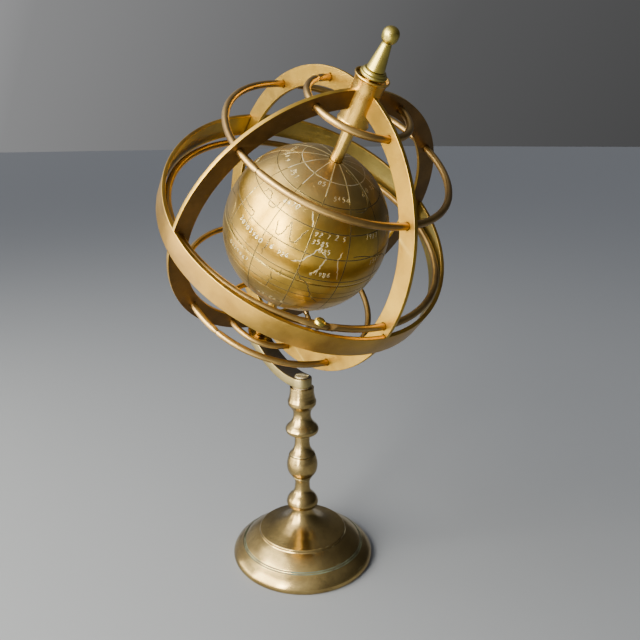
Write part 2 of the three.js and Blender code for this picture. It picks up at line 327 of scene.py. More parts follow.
# engraved lines: the pale burrs are rubbed metal with painted highlight, the dark groove dirt with
# painted shade, and the near-white cut a painted glint
RAISED = brass("engraved_edge", "d6bd72", "9c8344", "f6e6a8", 0.30, 0.25, leaning=True,
               scratch=0.0)
GROOVE = plain_metal("engraved_groove", "33260f", "1e1608", 0.60, metallic=0.6)
GLINT_CUT = plain_metal("painted_glint_cut", "f8efcf", "e0cf9c", 0.42)
STEEL = plain_metal("zinc_steel", "8c8a84", "5c5952", 0.45)


# ---- geometry helpers
def new_mesh(name, verts, faces, matrix):
    """Mesh from millimetre vertices in a local frame, placed by matrix."""
    mesh = bpy.data.meshes.new(name)
    placed = np.asarray(verts, float) @ np.array(matrix.to_3x3()).T + np.array(matrix.translation)
    mesh.from_pydata((placed * MM).tolist(), [], faces)
    return mesh


def make(name, verts, faces, materials, body, replaces=(), matrix=UPRIGHT, sharp=35.0,
         face_slots=None):
    """One shown piece from its vertices and faces."""
    mesh = new_mesh(name, verts, faces, matrix)
    mesh.validate()
    for material in materials:
        mesh.materials.append(material)
    if face_slots is not None:
        mesh.polygons.foreach_set("material_index", face_slots)
    return register(bpy.data.objects.new(name, mesh), body, replaces, sharp)


def register(obj, body, replaces=(), sharp=35.0):
    """Shades the object smooth up to an angle and tells the frame what it is."""
    if obj.name not in scene.collection.objects:
        scene.collection.objects.link(obj)
    mesh = obj.data
    mesh.polygons.foreach_set("use_smooth", [True] * len(mesh.polygons))
    mesh.set_sharp_from_angle(angle=math.radians(sharp))
    mesh.update()
    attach(obj, body)
    if replaces:
        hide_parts(*replaces)
    return obj


def evaluated_mesh(obj):
    """A plain mesh of the object with its modifiers or bevel applied."""
    graph = bpy.context.evaluated_depsgraph_get()
    return bpy.data.meshes.new_from_object(obj.evaluated_get(graph))


def cut_by(obj, tools):
    """Replaces obj's mesh by itself minus the tool meshes."""
    for tool in tools:
        mod = obj.modifiers.new("cut", "BOOLEAN")
        mod.operation = "DIFFERENCE"
        mod.solver = "EXACT"
        mod.object = tool
    mesh = evaluated_mesh(obj)
    obj.modifiers.clear()
    obj.data = mesh
    for tool in tools:
        bpy.data.objects.remove(tool)


def loose(name, verts, faces, matrix=UPRIGHT, materials=()):
    """An object that isn't a piece yet: a cutting tool, or a blank that is still to be cut."""
    mesh = new_mesh(name, verts, faces, matrix)
    for material in materials:
        mesh.materials.append(material)
    obj = bpy.data.objects.new(name, mesh)
    scene.collection.objects.link(obj)
    return obj


def rounded(points, closed=False, steps=5):
    """Polyline with fillets: each point is (r, z) or (r, z, fillet radius)."""
    out = []
    n = len(points)
    for i, p in enumerate(points):
        radius = p[2] if len(p) > 2 else 0.0
        here = np.array(p[:2], float)
        if radius <= 0 or (not closed and i in (0, n - 1)):
            out.append(here)
            continue
        before = np.array(points[i - 1][:2], float)
        after = np.array(points[(i + 1) % n][:2], float)
        a, b = before - here, after - here
        la, lb = np.linalg.norm(a), np.linalg.norm(b)
        a, b = a / la, b / lb
        half = math.acos(max(-1, min(1, float(a @ b)))) / 2
        reach = min(radius / math.tan(half), 0.48 * la, 0.48 * lb)
        for k in range(steps + 1):
            f = k / steps
            out.append((1 - f) ** 2 * (here + a * reach) + 2 * f * (1 - f) * here
                       + f ** 2 * (here + b * reach))
    return [tuple(map(float, q)) for q in out]


def spline(points, steps=6):
    """Smooth curve through (r, z) points."""
    pts = [np.array(p, float) for p in points]
    pts = [2 * pts[0] - pts[1]] + pts + [2 * pts[-1] - pts[-2]]
    out = []
    for i in range(1, len(pts) - 2):
        p0, p1, p2, p3 = pts[i - 1:i + 3]
        for k in range(steps):
            t = k / steps
            out.append(tuple(map(float, 0.5 * (2 * p1 + (p2 - p0) * t
                       + (2 * p0 - 5 * p1 + 4 * p2 - p3) * t * t
                       + (3 * p1 - p0 - 3 * p2 + p3) * t ** 3))))
    out.append(tuple(map(float, pts[-2])))
    return out


def spun(profile, segments=96, closed=False):
    """Surface of revolution about Z. An open profile is capped on the axis at both ends."""
    verts = []
    faces = []
    angles = 2 * math.pi * np.arange(segments) / segments
    rings = []
    pts = list(profile)
    if not closed:
        pts = [(0.0, pts[0][1])] + pts + [(0.0, pts[-1][1])]
    for r, z in pts:
        if r < 1e-6:
            rings.append([len(verts)])
            verts.append((0, 0, z))
        else:
            rings.append(list(range(len(verts), len(verts) + segments)))
            verts.extend((r * math.cos(a), r * math.sin(a), z) for a in angles)
    pairs = list(zip(rings, rings[1:]))
    if closed:
        pairs.append((rings[-1], rings[0]))
    for lo, hi in pairs:
        for i in range(segments):
            j = (i + 1) % segments
            a, b = len(lo), len(hi)
            corners = (lo[i % a], lo[j % a], hi[j % b], hi[i % b])
            faces.append(tuple(dict.fromkeys(corners)))
    return verts, faces


def bored(profile, bore):
    """Closed profile with a straight bore."""
    return profile + [(bore, profile[-1][1]), (bore, profile[0][1])]


def turn_piece(name, node, profile, material, body, matrix=UPRIGHT, segments=96,
               closed=False, bore=0.0, sharp=35.0):
    """One shown piece turned about the local Z axis, with a straight bore if it has one."""
    if bore:
        profile, closed = bored(profile, bore), True
    verts, faces = spun(profile, segments, closed)
    return make(name, verts, faces, [material], body, [node], matrix, sharp)


def tube_faces(rings, sides):
    """Faces of a tube whose vertices are equal rings in a row, with a cap at each end."""
    faces = []
    for i in range(rings - 1):
        for k in range(sides):
            p, n = i * sides + k, i * sides + (k + 1) % sides
            faces.append((p, p + sides, n + sides, n))
    faces.append(tuple(range(sides)))
    faces.append(tuple(range((rings - 1) * sides, rings * sides))[::-1])
    return faces


def rod_tool(radius, z0, z1, matrix=UPRIGHT):
    """A round cutter along the local Z axis."""
    verts, faces = spun([(radius, z0), (radius, z1)], 48)
    return loose("tool", verts, faces, matrix)


def box_tool(size, centre, matrix=UPRIGHT):
    """A box-shaped cutter."""
    sx, sy, sz = (c / 2 for c in size)
    verts = [(centre[0] + x, centre[1] + y, centre[2] + z)
             for x in (-sx, sx) for y in (-sy, sy) for z in (-sz, sz)]
    faces = [(0, 1, 3, 2), (4, 6, 7, 5), (0, 4, 5, 1), (2, 3, 7, 6), (0, 2, 6, 4), (1, 5, 7, 3)]
    return loose("tool", verts, faces, matrix)


def scored(z, r, depth=0.35, width=0.5):
    """A narrow scored line in a turned surface."""
    return [(r, z - width / 2), (r - depth, z), (r, z + width / 2)]


# ---- stand
GROOVE_FLOORS = {(40.8, 9.4), (39.9, 10.0)}
FOOT_SEGMENTS = 160
foot = (
    [(44.6, 0.0)]
    + rounded([(44.6, 0.0), (47.1, 0.0, 0.5), (47.6, 0.9, 0.3), (47.9, 2.0, 0.6)])[1:]
    + spline([(47.9, 2.3), (47.65, 3.5), (46.9, 4.9), (45.8, 6.2), (44.3, 7.6), (42.8, 8.7),
              (41.5, 9.65)], 5)
    + [(41.2, 9.9), (40.8, 9.4), (40.45, 10.35), (40.25, 10.55), (39.9, 10.0), (39.5, 11.15)]
    + spline([(39.3, 11.35), (37.9, 12.55), (36.4, 13.7), (34.6, 14.95), (32.6, 16.2),
              (31.0, 17.05)], 5)
    + rounded([(30.6, 17.25), (29.75, 17.65, 0.25), (29.3, 18.2, 0.25), (29.4, 19.35, 0.3),
               (28.9, 19.75, 0.35), (28.0, 19.95)])
    + spline([(27.6, 20.05), (24.0, 20.9), (20.0, 22.0), (16.8, 23.25), (14.0, 24.7),
              (11.4, 26.6), (9.4, 28.8), (8.1, 30.9), (7.4, 32.8), (7.1, 34.4), (7.0, 35.3),
              (7.0, 36.0)], 6)
    + [(2.3, 36.05), (2.3, 18.6), (20.0, 18.0), (36.0, 10.0), (43.0, 4.6), (44.6, 2.4)]
)
verts, faces = spun(foot, FOOT_SEGMENTS, closed=True)
dirty = [1 if {foot[k], foot[(k + 1) % len(foot)]} & GROOVE_FLOORS else 0
         for k in range(len(foot)) for _ in range(FOOT_SEGMENTS)]
make("foot", verts, faces, [CAST, DIRT], "stand", ["base_foot"],
     face_slots=dirty)
disc = rounded([(44.15, 0.0), (44.2, 0.0, 0.2), (44.2, 1.2, 0.2), (43.9, 1.2)])
turn_piece("foot_disc", "base_disc", disc, DARK_PATINA_AND_SHADE, "stand", segments=120)

lower = (
    rounded([(7.0, 36.4), (9.3, 36.5, 0.3), (10.4, 37.4, 0.5), (10.8, 39.4, 1.2),
             (10.4, 41.3, 1.0)], steps=5)
    + spline([(10.1, 42.0), (9.4, 43.2), (8.4, 44.4), (7.1, 45.7), (6.0, 47.2), (5.4, 48.8),
              (5.1, 51.2), (5.05, 54.2), (5.5, 56.8)], 4)
)
ball = (
    rounded([(5.7, 57.1), (6.2, 57.2, 0.2), (6.5, 57.7, 0.3), (6.35, 58.3, 0.2)])
    + spline([(6.5, 58.45), (7.7, 59.6), (9.0, 61.3), (10.0, 63.7), (10.4, 66.6), (10.15, 69.8),
              (9.35, 72.8), (8.85, 74.3)], 5)
    + scored(74.8, 8.6, 0.5, 0.7)
    + spline([(8.45, 75.4), (7.2, 76.8), (6.2, 78.4), (5.4, 80.5), (5.05, 83.0), (5.05, 85.8),
              (5.1, 87.9)], 5)
)
upper = (
    rounded([(5.1, 88.2), (5.2, 89.8, 0.2), (9.6, 90.2, 0.4), (10.7, 91.3, 0.5),
             (11.1, 93.2, 0.7), (10.6, 94.6, 0.3)], steps=5)
    + spline([(10.5, 94.7), (9.5, 95.9), (8.4, 97.0), (7.2, 98.6), (6.3, 100.5), (5.85, 102.6),
              (5.9, 104.8), (6.2, 106.2), (6.3, 106.7)], 4)
)
cup = (
    rounded([(6.4, 107.0), (6.9, 107.1, 0.2), (7.1, 107.8, 0.2), (7.7, 108.4, 0.5),
             (9.3, 110.6, 1.0), (9.45, 113.0, 0.8), (8.75, 115.0, 0.3), (8.6, 115.5, 0.3),
             (8.2, 117.6, 1.5), (7.9, 120.4, 1.5), (7.9, 122.5, 0.4), (7.4, 122.5)], steps=5)
)
for name, profile, node in (
    ("collar_lower", lower, "column_lower_collar"),
    ("baluster", ball, "column_baluster"),
    ("collar_upper", upper, "column_upper_collar"),
    ("cup", cup, "column_cup"),
):
    turn_piece(name, node, profile, CAST, "stand", sharp=40)
washer = [(6.1, 122.55), (6.25, 122.7), (6.25, 122.95), (6.1, 123.05)]
turn_piece("thin_washer", "arm_washer", washer, SKY_LIT_PALE, "stand", segments=64,
           bore=2.7)

# screw with a domed, slotted head
SLOT_TURN = Matrix.Rotation(math.radians(38), 4, "Z")
head = rounded([(2.3, 113.0), (2.3, 129.35, 0.1), (4.65, 129.35, 0.1), (4.7, 129.9, 0.3),
                (4.1, 130.4, 0.4), (2.4, 130.55, 0.6), (0.6, 130.6)], steps=5)
verts, faces = spun(head, 72)
screw = loose("column_screw", verts, faces, materials=[SKY_LIT_PALE])
cut_by(screw, [box_tool((12, 0.9, 1.2), (0, 0, 130.75), SLOT_TURN)])
register(screw, "stand", ["arm_screw"], 30)

# ---- arm
# a flat stretch over the column, a bend of TILT, and a straight stretch to the polar rod
polar_x = CAGE[0] + ARM_POLAR_TOP * math.sin(TILT)
polar_z = CAGE[2] + ARM_POLAR_TOP * math.cos(TILT)
slope = math.tan(TILT)
bend = ((slope * (-ARM_FLAT - polar_x) - (polar_z - ARM_TOP))
        / (slope * math.sin(TILT) - (1 - math.cos(TILT))))
arc_length = bend * TILT
arc_end = (-ARM_FLAT - bend * math.sin(TILT), ARM_TOP + bend * (1 - math.cos(TILT)))
straight = math.hypot(polar_x - arc_end[0], polar_z - arc_end[1])
whole = ARM_FLAT + arc_length + straight


def arm_at(along):
    """Point on the arm's top line and the local angle, by length from the column axis."""
    if along <= ARM_FLAT:
        return -along, ARM_TOP, 0.0
    if along <= ARM_FLAT + arc_length:
        a = (along - ARM_FLAT) / bend
        return -ARM_FLAT - bend * math.sin(a), ARM_TOP + bend * (1 - math.cos(a)), a
    k = along - ARM_FLAT - arc_length
    return arc_end[0] - k * math.cos(TILT), arc_end[1] + k * math.sin(TILT), TILT


def arm_ring(inset, depth):
    """Closed outline of the bar at one depth below its top: both long sides and round ends."""
    radius = ARM_HALF - inset
    end_steps, side_steps = 18, 56
    tail = [(-radius * math.sin(q), radius * math.cos(q))
            for q in np.linspace(math.pi / 2, 0, end_steps, endpoint=False)]
    body = [(along, radius) for along in np.linspace(0, whole, side_steps)]
    nose = [(whole + radius * math.sin(q), radius * math.cos(q))
            for q in np.linspace(0, math.pi / 2, end_steps + 1)[1:]]
    half_loop = tail + body + nose
    loop = half_loop + [(along, -y) for along, y in reversed(half_loop[1:-1])]
    out = []
    for along, y in loop:
        x, z, a = arm_at(along)
        out.append((x - math.sin(a) * depth, y, z - math.cos(a) * depth))
    return out


def arm_bar():
    """The bar with rounded edges: dark faces above and below, dark patina with painted shade under
    the cage, and lighter metal on its sides.
    """
    levels = [(ARM_EDGE * (1 - math.sin(q)), ARM_EDGE * (1 - math.cos(q)))
              for q in np.linspace(0, math.pi / 2, 5)]
    levels += [(inset, ARM_THICK - depth) for inset, depth in reversed(levels)]
    verts, faces, face_slots = [], [], []
    for inset, depth in levels:
        verts += arm_ring(inset, depth)
    count = len(verts) // len(levels)
    for i in range(len(levels) - 1):
        for k in range(count):
            a, b = i * count + k, i * count + (k + 1) % count
            faces.append((a, a + count, b + count, b))
            face_slots.append(1)
    for start, flip in ((0, True), ((len(levels) - 1) * count, False)):
        for k in range(count // 2):
            near, far = start + k, start + (count - k) % count
            cap = list(dict.fromkeys([near, near + 1, start + (count - k - 1) % count, far]))
            faces.append(tuple(cap if flip else cap[::-1]))
            face_slots.append(0)
    # top and bottom faces dark, sides lighter: painted shade on the top and bottom
    bar = loose("curved_arm", verts, faces, materials=[DARK_PATINA_AND_SHADE, ARM_SIDE_LIT])
    bar.data.polygons.foreach_set("material_index", face_slots)
    cut_by(bar, [rod_tool(2.6, 118, 134), rod_tool(3.1, -110, -95, LEAN)])
    register(bar, "arm", ["arm"], 32)


arm_bar()

# ---- polar rod, sleeves, finial
rod = rounded([(2.8, -110.4), (2.8, -98.2), (3.6, -98.2), (3.6, 96.4), (2.2, 96.4), (2.2, 108)])
turn_piece("polar_rod", "axis_rod", rod, TUBE, "cage", LEAN, segments=64)
north = (
    [(3.95, 73.6), (6.9, 73.4), (7.6, 72.0), (8.2, 70.3)]
    + rounded([(8.3, 70.15), (8.8, 70.1, 0.2), (8.95, 70.8, 0.25), (8.6, 71.4, 0.3),
               (8.35, 72.3, 0.6), (8.3, 73.5)])
    + spline([(8.3, 90.5), (8.35, 92.0), (8.5, 93.5), (8.75, 94.8), (9.0, 95.4)], 4)
    + rounded([(9.1, 95.6), (9.5, 96.0, 0.2), (9.6, 96.4, 0.2), (9.5, 96.85, 0.15), (9.0, 96.9)])
    + [(8.8, 96.85), (8.3, 96.1), (8.0, 95.4), (3.95, 95.2)]
)
turn_piece("sleeve_north", "north_sleeve", north, TUBE, "cage", LEAN, closed=True)
# Known fault: this sleeve should run from SOUTH_LOW to SOUTH_HIGH with a small lip at each end,
# but SOUTH_FLIP - z lies below SOUTH_LOW at every point, so it is a flat ring at SOUTH_LOW.
SOUTH_FLIP, SOUTH_LOW, SOUTH_HIGH, SOUTH_LIP = -167.0, -98.4, -70.1, 8.95
south = [(min(r, SOUTH_LIP), max(SOUTH_LOW, min(SOUTH_HIGH, SOUTH_FLIP - z)))
         for r, z in reversed(north)]
turn_piece("sleeve_south", "south_sleeve", south, TUBE, "cage", LEAN, closed=True)
ring = rounded([(6.9, 97.05), (7.3, 97.1, 0.2), (7.25, 98.45, 0.35), (6.9, 98.75, 0.3),
                (6.45, 98.9, 0.2), (6.25, 99.6, 0.3), (5.9, 100.15, 0.4), (5.3, 100.4)], steps=4)
turn_piece("ring_under_finial", "finial_collar", ring, PALE, "cage", LEAN, bore=2.6)
tip = (
    rounded([(4.5, 100.55), (4.95, 100.6, 0.15), (4.75, 101.4, 0.4), (2.75, 113.2, 0.6),
             (2.45, 114.2, 0.3)], steps=4)
    + spline([(2.5, 114.4), (3.2, 114.9), (3.95, 116.0), (4.3, 117.6), (4.25, 119.1),
              (3.6, 120.7), (2.4, 121.8), (1.0, 122.3)], 4)
)
turn_piece("finial_turned", "finial", tip, PALE, "cage", LEAN, segments=80)
washer = rounded([(7.3, -99.4), (7.6, -99.4, 0.15), (7.6, -98.7, 0.15), (7.3, -98.7)])
turn_piece("washer_polar", "polar_washer", washer, PALE, "cage", LEAN, segments=80,
           bore=3.2)
verts, faces = spun(rounded([(4.4, -109.4), (5.4, -108.9, 0.2), (5.4, -106.3, 0.2),
                             (4.6, -105.8)]), 6)
nut = loose("nut_polar", verts, faces, LEAN, [DARK_PATINA_AND_SHADE])
cut_by(nut, [rod_tool(2.9, -115, -100, LEAN)])
register(nut, "cage", ["polar_nut"], 25)
stop = rounded([(5.6, -57.6), (6.2, -57.4, 0.3), (6.2, -53.7, 0.3), (5.6, -53.5)])
turn_piece("stop_collar", "globe_stop", stop, TUBE, "cage", LEAN, segments=72,
           bore=3.95)


# ---- colure plates
def band_rise(angle):
    """Height of the hand-bent band over its own plane."""
    return (0.2 - 0.32 * math.cos(2 * angle) - 2.1 * math.sin(2 * angle)
            - 0.4 * math.cos(3 * angle) - 0.58 * math.sin(3 * angle))


NOTCH_PLAY = 0.3
NOTCH_DEEPER = 0.45


def plate_outline(turn):
    """Half annulus in its own plane (x from the axis, y along it), notched for the band."""
    k = math.sin(BAND_LEAN) * math.cos(turn - BAND_TURN)
    c = math.cos(BAND_LEAN)
    size = math.hypot(k, c)
    offset = math.atan2(k, c)
    low = band_rise(turn) - BAND_HALF - NOTCH_PLAY
    high = band_rise(turn) + BAND_HALF + NOTCH_PLAY

    def angle(radius, s):
        return math.asin(s / (radius * size)) - offset

    out = []
    first = -math.acos(PLATE_STEM / PLATE_OUT)
    for a in np.linspace(first, angle(PLATE_OUT, low), 60):
        out.append((PLATE_OUT * math.cos(a), PLATE_OUT * math.sin(a)))
    for s in np.linspace(low, high, 12):
        r = math.hypot(BAND_IN - NOTCH_DEEPER, s)
        a = angle(r, s)
        out.append((r * math.cos(a), r * math.sin(a)))
    for a in np.linspace(angle(PLATE_OUT, high), -first, 60):
        out.append((PLATE_OUT * math.cos(a), PLATE_OUT * math.sin(a)))
    last = math.acos(PLATE_STEM / PLATE_IN)
    for a in np.linspace(last, -last, 110):
        out.append((PLATE_IN * math.cos(a), PLATE_IN * math.sin(a)))
    return out


def wire_hole(latitude):
    """Outline of the hole for one wire, walked the other way round from the plate's."""
    a = math.radians(latitude)
    cx, cy = WIRE_ORBIT * math.cos(a), WIRE_ORBIT * math.sin(a)
    return [(cx + WIRE_HOLE_R * math.cos(q), cy + WIRE_HOLE_R * math.sin(q))
            for q in np.linspace(0, -2 * math.pi, 33)[:-1]]


def flat_sheet(name, loops, half, edge):
    """Mesh of a flat sheet in the XY plane, with holes and a small round on every edge."""
    curve = bpy.data.curves.new(name, "CURVE")
    curve.dimensions = "2D"
    curve.fill_mode = "BOTH"
    curve.extrude = (half - edge) * MM
    curve.bevel_depth = edge * MM
    curve.bevel_resolution = 2
    curve.offset = -edge * MM
    for loop in loops:
        line = curve.splines.new("POLY")
        line.points.add(len(loop) - 1)
        for point, (x, y) in zip(line.points, loop):
            point.co = (x * MM, y * MM, 0, 1)
        line.use_cyclic_u = True
    temp = bpy.data.objects.new(name + "_curve", curve)
    scene.collection.objects.link(temp)
    mesh = evaluated_mesh(temp)
    bpy.data.objects.remove(temp)
    return mesh


def plate(side, turn):
    """One drilled half ring at its turn about the polar axis."""
    name = "plate_" + side
    loops = [plate_outline(turn)] + [wire_hole(latitude) for latitude in LATITUDES.values()]
    mesh = flat_sheet(name, loops, PLATE_HALF, PLATE_EDGE)
    matrix = Matrix.Rotation(turn, 4, "Z") @ Matrix.Rotation(math.pi / 2, 4, "X")
    mesh.transform(Matrix.Scale(MM, 4) @ LEAN @ matrix @ Matrix.Scale(1 / MM, 4))
    mesh.materials.clear()
    mesh.materials.append(SHEET)
    mesh.materials.append(PAINTED_SHADE_BROWN)
    # the faces of the side plates that lean downward are painted dark brown: painted shade for the
    # dark floor that they reflect
    downhill = LEAN.to_3x3() @ Vector((1, 0, 0))
    is_side_plate = abs(math.sin(turn)) > 0.5
    for polygon in mesh.polygons:
        faces_down = polygon.normal.dot(downhill) > 0.9
        polygon.material_index = 1 if is_side_plate and faces_down else 0
    mesh.name = name
    obj = bpy.data.objects.new(name, mesh)
    register(obj, "cage", ["colure_" + side], 30)


for quarter, side in enumerate(("front", "right", "back", "left")):
    plate(side, quarter * math.pi / 2)

# ---- band
BAND_SEGMENTS = 240
section = rounded([(BAND_IN, -BAND_HALF, 0.4), (BAND_OUT, -BAND_HALF, 0.4),
                   (BAND_OUT, BAND_HALF, 0.4), (BAND_IN, BAND_HALF, 0.4)], closed=True, steps=3)
verts, faces = spun(section, BAND_SEGMENTS, closed=True)
verts = [(x, y, z + band_rise(math.atan2(y, x) + BAND_TURN)) for x, y, z in verts]
hoop = LEAN @ Matrix.Rotation(BAND_TURN, 4, "Z") @ Matrix.Rotation(BAND_LEAN, 4, "Y")
# the inner face takes the paler brass: painted light against the bounced orange glow
inner_side = [1 if k == len(section) - 1 else 0
              for k in range(len(section)) for _ in range(BAND_SEGMENTS)]
make("band", verts, faces, [BAND, INSIDE_PAINTED_LIGHT], "cage", ["zodiac_band"], hoop,
     face_slots=inner_side)

# ---- wires
WAVINESS = 0.10
rng = np.random.default_rng(7)


def wave(angles):
    """Slow, repeatable waviness of a hand-bent wire."""
    out = np.zeros(len(angles))
    for k in (2, 3, 5, 8):
        out += rng.normal() * np.sin(k * angles + rng.uniform(0, 6.28)) / k
    return WAVINESS * out


def wire(name, joint):
    """A round wire bent to its circle of latitude, with an open butt joint at one angle."""
    gap, sides = 0.16, 20
    a = math.radians(LATITUDES[name])
    orbit, height = WIRE_ORBIT * math.cos(a), WIRE_ORBIT * math.sin(a)
    half = gap / orbit
    steps = int(orbit * 4.2)
    start = math.radians(joint)
    angles = np.linspace(start + half, start + 2 * math.pi - half, steps)
    wob_r, wob_z = wave(angles), wave(angles)
    # the cut ends are rounded over
    scale = np.ones(steps)
    scale[[0, -1]] = 0.80
    scale[[1, -2]] = 0.97
    verts = []
    for i, q in enumerate(angles):
        for k in range(sides):
            b = 2 * math.pi * k / sides
            r = orbit + wob_r[i] + scale[i] * WIRE_R * math.cos(b)
            verts.append((r * math.cos(q), r * math.sin(q),
                          height + wob_z[i] + scale[i] * WIRE_R * math.sin(b)))
    make("wire_" + name, verts, tube_faces(steps, sides), [WIRE], "cage", [name + "_wire"], LEAN,
         sharp=50)


for name, joint in WIRE_JOINTS.items():
    wire(name, joint)


def lapped_wire():
    """Equator wire: both ends are filed half flat and laid over each other."""
    reach_low, reach_high = 7.0, 6.0
    grow, tab_length, clear = 4.0, 2.4, 0.04
    steps, sides = 700, 24
    angles = np.linspace(LAP_AT - reach_low / WIRE_ORBIT,
                         LAP_AT + 2 * math.pi + reach_high / WIRE_ORBIT, steps)
    lap = reach_low + reach_high
    verts = []
    for q in angles:
        from_start = (q - angles[0]) * WIRE_ORBIT
        from_end = (angles[-1] - q) * WIRE_ORBIT
        low = min(1.0, max(0.0, (lap + grow - from_start) / grow))
        high = min(1.0, max(0.0, (lap + grow - from_end) / grow))
        tab = min(from_start, from_end) / tab_length
        blunt = math.sqrt(max(0.03, 1 - (1 - min(1.0, tab)) ** 2))
        for k in range(sides):
            b = 2 * math.pi * k / sides
            x, y = WIRE_R * math.cos(b), WIRE_R * math.sin(b)
            wide = (1 + 0.25 * max(low, high)) * blunt
            if low > 0:
                y = min(y, WIRE_R + low * (-clear - WIRE_R))
            if high > 0:
                y = max(y, -WIRE_R + high * (clear + WIRE_R))
            r = WIRE_ORBIT + x * wide
            verts.append((r * math.cos(q), r * math.sin(q), y))
    make("wire_equator", verts, tube_faces(steps, sides), [WIRE], "cage", ["equator_wire"], LEAN,
         sharp=40)


lapped_wire()
shape = rounded([(0.9, -2.8), (1.5, -2.5, 0.3), (1.5, -1.95, 0.1), (0.65, -1.9), (0.65, 1.85),
                 (3.0, 1.9, 0.2), (3.05, 2.5, 0.5), (2.3, 3.6, 0.9), (0.5, 4.05)], steps=4)
at_lap = LEAN @ Matrix.Rotation(LAP_AT, 4, "Z") @ Matrix.Translation((WIRE_ORBIT, 0, 0))
turn_piece("rivet", "equator_rivet", shape, PALE, "cage", at_lap, segments=40)


# ---- globe
def shell(name, node, flip):
    """Half of the thin globe: a small bevel at the seam and a bore at the pole."""
    seam, bevel = 0.10, 0.12
    inner = GLOBE_R - GLOBE_WALL
    outer_end, inner_end = math.acos(GLOBE_BORE / GLOBE_R), math.acos(GLOBE_BORE / inner)
    pts = [(GLOBE_R - bevel, seam)]
    for a in np.linspace(0.30 / GLOBE_R, outer_end - 0.004, 56):
        pts.append((GLOBE_R * math.cos(a), GLOBE_R * math.sin(a)))
    pts.append((GLOBE_BORE, GLOBE_R * math.sin(outer_end) - 0.15))
    for a in np.linspace(inner_end, seam / inner, 20):
        pts.append((inner * math.cos(a), inner * math.sin(a)))
    turn_piece(name, node, pts, GLOBE, "globe", SHIFTED @ flip, segments=192,
               closed=True)


shell("half_upper", "globe_upper", Matrix.Identity(4))
shell("half_lower", "globe_lower", Matrix.Rotation(math.pi, 4, "X"))

# ---- engraving
GRID_WIDTH = 0.42
FINE_WIDTH = 0.16
POLAR_WIDTH = 0.40
DIGIT_WIDTH = 0.32
LAND_WIDTH = 0.34
ISLE_WIDTH = 0.30
# across a stroke: place as a share of its half width, and height over the globe
STROKE_SECTION = ((-1.0, -0.03), (-0.75, 0.05), (-0.50, 0.01), (0.50, 0.01), (0.75, 0.05),
                  (1.0, -0.03))


def on_sphere(latitude, longitude):
    """Unit vectors for angles in radians."""
    return np.array([np.cos(latitude) * np.cos(longitude), np.cos(latitude) * np.sin(longitude),
                     np.sin(latitude)]).T


class Engraving:
    """Collects engraved strokes as narrow ribbons with two burrs and a dark groove between: pale
    burrs are rubbed metal with painted highlight, the groove dirt with painted shade.
    """

    def __init__(self):
        self.verts = []
        self.faces = []
        self.slots = []

    def stroke(self, points, width, closed=False, bright=False):
        """Adds a ribbon along points on the globe, with tapered ends unless it is closed."""
        pts = np.asarray(points, float)
        n = len(pts)
        if n < 2:
            return
        pts = pts / np.linalg.norm(pts, axis=1)[:, None]
        if closed:
            ahead = np.roll(pts, -1, 0) - np.roll(pts, 1, 0)
        else:
            ahead = np.gradient(pts, axis=0)
        side = np.cross(pts, ahead)
        length = np.linalg.norm(side, axis=1)
        length[length < 1e-9] = 1e-9
        side = side / length[:, None]
        base = len(self.verts)
        for i in range(n):
            taper = 1.0
            if not closed:
                taper = min(1.0, 0.35 + 0.4 * min(i, n - 1 - i))
            for x, h in STROKE_SECTION:
                self.verts.append(pts[i] * (GLOBE_R + h) + side[i] * x * width * taper)
        m = len(STROKE_SECTION)
        for i in range(n if closed else n - 1):
            j = (i + 1) % n
            for k in range(m - 1):
                self.faces.append((base + i * m + k, base + i * m + k + 1,
                                   base + j * m + k + 1, base + j * m + k))
                # the middle strip is the dark groove, or on bright strokes the near-white cut, a
                # painted glint
                self.slots.append((2 if bright else 1) if k == 2 else 0)

    def path(self, corners, width, bright=False, wobble=0.0):
        """Stroke through (longitude, latitude) corners in degrees."""
        knots = np.array(corners, float)
        fine = [knots[0]]
        for a, b in zip(knots, knots[1:]):
            span = max(2, int(np.linalg.norm((b - a) * (math.cos(math.radians(a[1])), 1)) / 1.2))
            fine += [a + (b - a) * f for f in np.linspace(0, 1, span + 1)[1:]]
        fine = np.radians(np.array(fine) + rng.normal(size=(len(fine), 2)) * wobble)
        self.stroke(on_sphere(fine[:, 1], fine[:, 0]), width, bright=bright)


engraved = Engraving()
FIRST_MERIDIAN = -39.5


def parallel(degrees, count, width, bright=False):
    """A full circle of latitude with count points."""
    around = np.linspace(0, 2 * math.pi, count, endpoint=False)
    engraved.stroke(on_sphere(np.full(count, math.radians(degrees)), around), width,
                    closed=True, bright=bright)


# the top parallel and the meridians' polar ends get the near-white cut: painted glint where the
# globe's top catches the light
for degrees in range(-60, 69, 16):
    parallel(degrees, 240, GRID_WIDTH, bright=degrees > 60)
for k in range(12):
    lat = np.radians(np.linspace(-85.2, 85.3, 150))
    lon = math.radians(FIRST_MERIDIAN + 30 * k)
    engraved.stroke(on_sphere(lat[:125], np.full(125, lon)), GRID_WIDTH)
    engraved.stroke(on_sphere(lat[124:], np.full(26, lon)), POLAR_WIDTH, bright=True)
for degrees in (-7, -17.5):
    parallel(degrees, 300, FINE_WIDTH)

